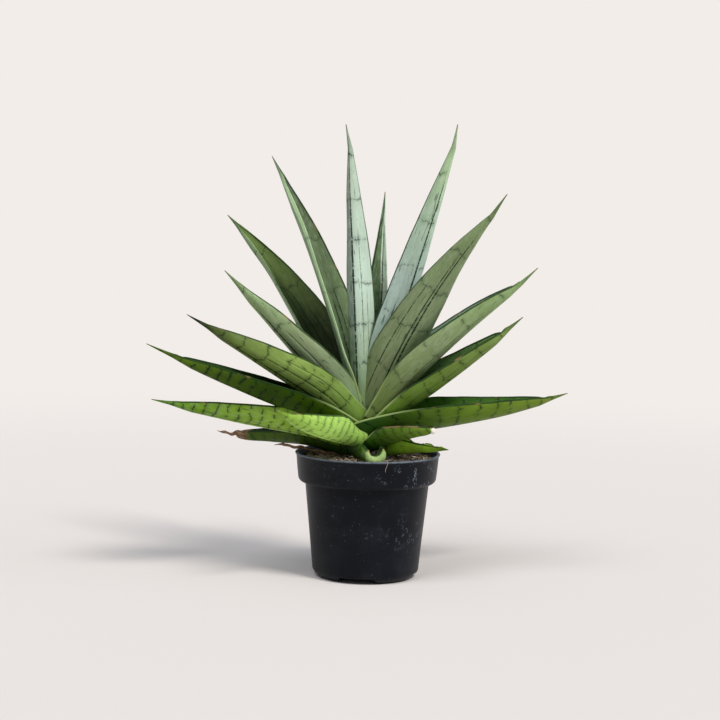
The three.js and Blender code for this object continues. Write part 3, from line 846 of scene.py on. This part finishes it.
POT_HEIGHT = 103
RIM_RADIUS = 60
BAND_BOTTOM_RADIUS = 57.2
BAND_BOTTOM = 78.5
BAND_BEND = 4.5  # radius of the round corner under the rim band
LIP_BEND = 0.8
WALL_TOP_RADIUS = 51
WALL_BOTTOM_RADIUS = 44.3
WALL_START = 9  # height at which the wall is straight, above its round corner
WALL_RISE = 66.5
WALL_STEPS = 6
CORNER = 7
INNER_CORNER = 5
POT_WALL = 1.3
POT_WOBBLE = 0.25
POT_SIDES = 288
FOOT_RADIUS = 40
FOOT_WIDTH = 3
FOOT_HEIGHT = 5
FOOT_BEND = 1.5
NOTCHES = 4
NOTCH_ANGLE = -100
NOTCH_WIDTH_LOW = 33
NOTCH_WIDTH_HIGH = 26
NOTCH_SOFTNESS = 0.6
DRAIN_HOLES = 8
DRAIN_RADIUS = 4
DRAIN_CIRCLE = 28
DRAIN_SIDES = 24
DRAIN_CLEAR = 3  # how far the drill goes past the floor on each side


def arc(centre_radius, centre_height, bend, start, end, steps):
    """Points of a round corner in a profile, from one angle to another in degrees."""
    corner = [around(bend, radians(start + (end - start) * i / steps)) for i in range(steps + 1)]
    return [(centre_radius + out, centre_height + up) for out, up in corner]


def pot_profile():
    """The pot's wall in section: up the outside from the foot, over the lip, and down the inside."""
    slope = (WALL_TOP_RADIUS - WALL_BOTTOM_RADIUS) / WALL_STEPS
    rise = WALL_RISE / WALL_STEPS
    foot_inside = FOOT_RADIUS - FOOT_WIDTH
    lip = RIM_RADIUS - 0.75
    return [
        (foot_inside, FOOT_HEIGHT),
        *arc(foot_inside + 0.6, 0.6, 0.6, 180, 270, 3),
        *arc(FOOT_RADIUS - FOOT_BEND, FOOT_BEND, FOOT_BEND, -90, -35, 4),
        *arc(WALL_BOTTOM_RADIUS - CORNER, CORNER + 1, CORNER, -52, 0, 8),
        *((WALL_BOTTOM_RADIUS + slope * k, WALL_START + rise * k) for k in range(1, WALL_STEPS + 1)),
        *arc(WALL_TOP_RADIUS + 1, BAND_BOTTOM - 1, 1.2, 180, 90, 4),
        *arc(BAND_BOTTOM_RADIUS - BAND_BEND, BAND_BOTTOM + BAND_BEND, BAND_BEND, -86, -8, 9),
        (BAND_BOTTOM_RADIUS + 0.8, 90), (RIM_RADIUS - 1.1, 100), (lip, 101.2),
        *arc(lip - 0.05, POT_HEIGHT - LIP_BEND, LIP_BEND, -20, 90, 5),
        *arc(lip - 1.1, POT_HEIGHT - 0.7, 0.7, 90, 170, 3),
        (BAND_BOTTOM_RADIUS - POT_WALL, BAND_BOTTOM + 6), (WALL_TOP_RADIUS - POT_WALL, BAND_BOTTOM + 1),
        *arc(WALL_BOTTOM_RADIUS - POT_WALL - INNER_CORNER, FOOT_HEIGHT + POT_WALL + INNER_CORNER,
             INNER_CORNER, 0, -90, 5),
    ]


def notch_height(angle):
    """Height of the foot ring's underside at an azimuth: 0 on a foot, and up to the floor in a notch."""
    period = 360 / NOTCHES
    off = (angle - NOTCH_ANGLE + period / 2) % period - period / 2
    across = abs(FOOT_RADIUS * sin(radians(off)))
    slant = (NOTCH_WIDTH_LOW - NOTCH_WIDTH_HIGH) / 2 + 2 * NOTCH_SOFTNESS
    return (FOOT_HEIGHT - 0.3) * float(smooth((NOTCH_WIDTH_LOW / 2 + NOTCH_SOFTNESS - across) / slant))


def pot_piece():
    profile = pot_profile()
    angles = [360 * k / POT_SIDES for k in range(POT_SIDES)]
    lifts = [notch_height(a) for a in angles]
    points = []
    for radius, height in profile:
        at_foot = height < FOOT_HEIGHT + 1 and radius < WALL_BOTTOM_RADIUS - 0.5
        for angle, lift in zip(angles, lifts):
            a = radians(angle)
            wobble = POT_WOBBLE * ripple(*around(1.3, a), height * 0.012)
            points.append((*around(radius + wobble, a), max(height, lift) if at_foot else height))
    made = make_object("nursery_pot_shell", points, tube_faces(len(profile), POT_SIDES), [pot_material()])
    drill(made)
    return stand_in(made, "nursery_pot")


def drill(pot):
    """Cuts the drain holes through the pot's floor."""
    points, faces = [], []
    for index in range(DRAIN_HOLES):
        x, y = around(DRAIN_CIRCLE, 2 * pi * (index + 0.5) / DRAIN_HOLES)
        faces += [tuple(len(points) + v for v in f) for f in tube_faces(2, DRAIN_SIDES)]
        for z in (FOOT_HEIGHT - DRAIN_CLEAR, FOOT_HEIGHT + POT_WALL + DRAIN_CLEAR):
            hole = [around(DRAIN_RADIUS, a) for a in turns(DRAIN_SIDES)]
            points += [(x + right, y + back, z) for right, back in hole]
    cutter = make_object("drain_cutter", points, faces, [])
    cut = pot.modifiers.new("drain", "BOOLEAN")
    cut.operation = "DIFFERENCE"
    cut.object = cutter
    cut.solver = "EXACT"
    bpy.context.view_layer.objects.active = pot
    bpy.ops.object.modifier_apply(modifier=cut.name)
    bpy.data.objects.remove(cutter)


# ---- potting mix ----

SOIL_EDGE_HEIGHT = 96
SOIL_CENTRE_HEIGHT = 99
SOIL_RADIUS = 56
SOIL_SIDES = 180
SOIL_RINGS = 56
SOIL_UNDERSIDE = ((55.4, 86), (48.5, 78), (42.2, 13), (37, 7))  # radius and height, down inside the pot


def soil_height(x, y):
    """Height of the crumbly surface at a place."""
    out = hypot(x, y) / SOIL_RADIUS
    height = SOIL_CENTRE_HEIGHT + (SOIL_EDGE_HEIGHT - SOIL_CENTRE_HEIGHT) * out ** 3
    for depth, pace, layer in ((1.3, 0.07, 3), (0.9, 0.25, 7), (0.5, 0.8, 11)):
        height += depth * ripple(x * pace, y * pace, layer)
    return height


def soil_piece():
    points = []
    for ring in range(SOIL_RINGS):
        for a in turns(SOIL_SIDES):
            x, y = around(SOIL_RADIUS * (ring + 1) / SOIL_RINGS, a)
            points.append((x, y, soil_height(x, y)))
    for radius, height in SOIL_UNDERSIDE:
        points += [(*around(radius, a), height) for a in turns(SOIL_SIDES)]
    faces = inside_out(tube_faces(SOIL_RINGS + len(SOIL_UNDERSIDE), SOIL_SIDES))
    made = make_object("potting_mix_body", points, faces, [soil_material()])
    return stand_in(made, "potting_mix")


class Litter:
    """Chips and fibres gathered into one mesh."""

    def __init__(self):
        self.points, self.faces, self.tints = [], [], []

    def add(self, points, faces, tint):
        first = len(self.points)
        self.points += [tuple(p) for p in points]
        self.faces += [tuple(first + v for v in f) for f in faces]
        self.tints += [(tint, 0, 0)] * len(points)

    def chip(self, centre, size, turn, tint, draw):
        """A lumpy flake of bark: a squashed box with its corners pushed about."""
        points = []
        for i, j, k in product((-1, 1), repeat=3):
            jitter = Vector([draw.uniform(-0.3, 0.3) for _ in range(3)])
            corner = Vector((i * size[0], j * size[1], k * size[2])) / 2
            points.append(centre + turn @ (corner + jitter * size[1]))
        faces = [(0, 1, 3, 2), (4, 6, 7, 5), (0, 4, 5, 1), (2, 3, 7, 6), (0, 2, 6, 4), (1, 5, 7, 3)]
        self.add(points, faces, tint)

    def fibre(self, path, radius, tint):
        """A thin strand along a path of points, four-sided and pointed at both ends."""
        points = []
        for index, place in enumerate(path):
            ahead = path[min(index + 1, len(path) - 1)] - path[max(index - 1, 0)]
            side = ahead.cross(Vector((0.3, 0.2, 1))).normalized()
            over = side.cross(ahead).normalized()
            thin = radius * (0.35 if index in (0, len(path) - 1) else 1)
            points += [place + side * thin, place + over * thin, place - side * thin, place - over * thin]
        self.add(points, tube_faces(len(path), 4), tint)


CHIPS = 1300
FIBRES = 1100
FIBRE_STEPS = 6
LITTER_START = 14  # the litter lies from here outwards, clear of the crown
LITTER_END = 56.5
STRANDS = (  # path and tint of one strand that hangs over the front rim and of two dark ones at the right
    ([(12, -52, 98), (14, -56, 101.5), (15.5, -59, 104), (15.8, -60.3, 102.5), (15, -60.5, 99.5),
      (14, -60, 97), (14.2, -59.7, 95)], 0.7),
    ([(49, -24, 98), (49.4, -25, 102), (48.6, -26, 106), (46.6, -27, 109)], 0.1),
    ([(52, -22, 97), (50.6, -23, 101), (50.8, -24, 105)], 0.2),
)
STRAND_RADIUS = 0.22


def litter_piece():
    """Bark chips and coir fibres strewn over the potting mix, and a few longer strands."""
    draw = random.Random(11)
    litter = Litter()
    for _ in range(CHIPS):
        radius = LITTER_START + 40.5 * sqrt(draw.random())
        x, y = around(radius, draw.uniform(0, 2 * pi))
        length = draw.uniform(1.2, 4.2)
        size = (length, length * draw.uniform(0.35, 0.8), length * draw.uniform(0.15, 0.4))
        turn = Matrix.Rotation(draw.uniform(0, 6.3), 3, "Z")
        turn = turn @ Matrix.Rotation(draw.uniform(-0.5, 0.5), 3, "X")
        centre = Vector((x, y, soil_height(x, y) + draw.uniform(0.2, 1.2) * size[2]))
        litter.chip(centre, size, turn, draw.random() ** 1.8, draw)
    for _ in range(FIBRES):
        radius = LITTER_START + 40 * sqrt(draw.random())
        x, y = around(radius, draw.uniform(0, 2 * pi))
        heading = draw.uniform(0, 2 * pi)
        curl = draw.uniform(-0.25, 0.25)
        lift = draw.uniform(0.3, 3.4)
        step = draw.uniform(3, 12) / FIBRE_STEPS
        path = []
        for k in range(FIBRE_STEPS + 1):
            path.append(Vector((x, y, soil_height(x, y) + 0.3 + lift * sin(pi * k / FIBRE_STEPS))))
            heading += curl
            x += step * cos(heading)
            y += step * sin(heading)
        if max(hypot(p.x, p.y) for p in path) < LITTER_END:
            litter.fibre(path, draw.uniform(0.14, 0.34), draw.uniform(0.35, 1))
    for path, tint in STRANDS:
        litter.fibre([Vector(p) for p in path], STRAND_RADIUS, tint)
    made = make_object(
        "potting_mix_litter", litter.points, litter.faces, [litter_material()], {"tint": litter.tints},
        smooth_faces=False,
    )
    return stand_in(made, "potting_mix")


# ---- small plant details ----


CALLUS_RADIUS = 2.3
CALLUS_ROWS = 10
CALLUS_SIDES = 16


def callus_piece():
    """The white healed knob on the end of the clipped leaf."""
    leaf = LEAVES["leaf_front_right_clipped"]
    end = keel_points(leaf, [leaf.end])[0][0]
    points = []
    for row in range(CALLUS_ROWS):
        polar = pi * (row + 0.5) / CALLUS_ROWS
        for a in turns(CALLUS_SIDES):
            spot = Vector((*around(sin(polar), a), cos(polar)))
            points.append(end + np.array(spot) * CALLUS_RADIUS * (1 + 0.3 * noise.noise(spot * 1.7)))
    faces = inside_out(tube_faces(CALLUS_ROWS, CALLUS_SIDES))
    return stand_in(make_object("leaf_front_right_callus", points, faces, [callus]))


# ---- stage ----

PALE = "#f2ede9"
FLOOR_REACH = 9e4
FLOOR_NEAR, FLOOR_FAR = 0.5, 1.6  # metres from the pot over which the floor passes into the sky's colour


def stage():
    """A pale floor under an equally pale sky, so that no horizon shows."""
    g = Graph("floor")
    away = g.node("VectorMath", {0: g.place()}, operation="LENGTH").outputs["Value"]
    far = g.step(away, FLOOR_NEAR, FLOOR_FAR)
    g.finish(g.mix(far, "#e3dedb", "#000000"), 0.9, gloss=0)
    g.set(g.shader.inputs["Emission Color"], linear(PALE))
    g.set(g.shader.inputs["Emission Strength"], far)
    corners = [(x * FLOOR_REACH, y * FLOOR_REACH, 0) for x, y in ((-1, -1), (1, -1), (1, 1), (-1, 1))]
    make_object("floor", corners, [(0, 1, 2, 3)], [g.material])

    # the camera sees the sky in the pale colour, but only a dim bluish light falls from it
    world = bpy.data.worlds.new("studio")
    bpy.context.scene.world = world
    world.use_nodes = True
    nodes, links = world.node_tree.nodes, world.node_tree.links
    seen = nodes["Background"]
    seen.inputs["Color"].default_value = linear(PALE)
    light = nodes.new("ShaderNodeBackground")
    light.inputs["Color"].default_value = linear("#f4f6fb")
    light.inputs["Strength"].default_value = 0.3
    path = nodes.new("ShaderNodeLightPath")
    mix = nodes.new("ShaderNodeMixShader")
    links.new(path.outputs["Is Camera Ray"], mix.inputs[0])
    links.new(light.outputs[0], mix.inputs[1])
    links.new(seen.outputs[0], mix.inputs[2])
    links.new(mix.outputs[0], nodes["World Output"].inputs[0])


def sun(name, azimuth, elevation, strength, softness, colour):
    """A distant soft lamp. azimuth 0 shines from behind the camera and 90 from the right."""
    data = bpy.data.lights.new(name, "SUN")
    data.energy = strength
    data.angle = radians(softness)
    data.color = linear(colour)[:3]
    lamp = bpy.data.objects.new(name, data)
    a, e = radians(azimuth), radians(elevation)
    source = Vector((sin(a) * cos(e), -cos(a) * cos(e), sin(e)))
    lamp.rotation_mode = "QUATERNION"
    lamp.rotation_quaternion = source.to_track_quat("Z", "Y")
    bpy.context.scene.collection.objects.link(lamp)


SENSOR = 36
LENS = 91.3
VIEW_X = -8
CAMERA_AWAY = 1500
CAMERA_ABOVE = 121.7  # over the middle of the whole object
AIM_BELOW = 7
CAMERA_TILT = 1.2


def camera():
    """The viewpoint: a long lens a little above the leaves, looking slightly down."""
    data = bpy.data.cameras.new("camera")
    data.sensor_width = SENSOR
    data.lens = LENS
    made = bpy.data.objects.new("camera", data)
    bpy.context.scene.collection.objects.link(made)
    middle = (cad_low + cad_high) / 2
    target = Vector((VIEW_X * MM, 0, middle.z - AIM_BELOW * MM))
    place = Vector((VIEW_X * MM, -CAMERA_AWAY * MM, middle.z + CAMERA_ABOVE * MM))
    forward = (target - place).normalized()
    level = forward.cross(Vector((0, 0, 1))).normalized()
    tilt = radians(CAMERA_TILT)
    right = level * cos(tilt) + level.cross(forward) * sin(tilt)
    up = right.cross(forward)
    made.matrix_world = Matrix.Translation(place) @ Matrix((right, up, -forward)).transposed().to_4x4()
    bpy.context.scene.camera = made


# ---- put together ----

cut_flesh = speckled(
    "cut_leaf_flesh", 900.0, [(0.3, "#7c9650"), (0.55, "#9cb86c"), (0.75, "#bccf90")], 0.45, 0.7, 0.4, 0.3,
    cut=True,
)
callus = speckled(
    "callus", 1400.0, [(0.3, "#b9ab92"), (0.5, "#ece4d6"), (0.8, "#fbf8f2")], 0.5, 0.8, 0.5, 0.3,
)
root_skin = speckled(
    "crown_and_roots", 420.0, [(0.3, "#6f5a3c"), (0.5, "#b39c72"), (0.75, "#d3c39c")], 0.6, 0.9, 0.6, 0.5,
    detail=5.0,
)
for leaf_name, leaf_values in LEAVES.items():
    leaf_piece(leaf_name, leaf_values)
callus_piece()
soil_piece()
litter_piece()
pot_piece()
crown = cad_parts["crown_and_roots"]
crown.data.materials.clear()
crown.data.materials.append(root_skin)

stage()
sun("key", 42, 50, 2.0, 16, "#fffaf2")
sun("fill", -38, 56, 1.1, 30, "#f6f9ff")
sun("side", 76, 10, 0.95, 60, "#dfe9ff")
camera()
bpy.context.scene.view_settings.view_transform = "Standard"
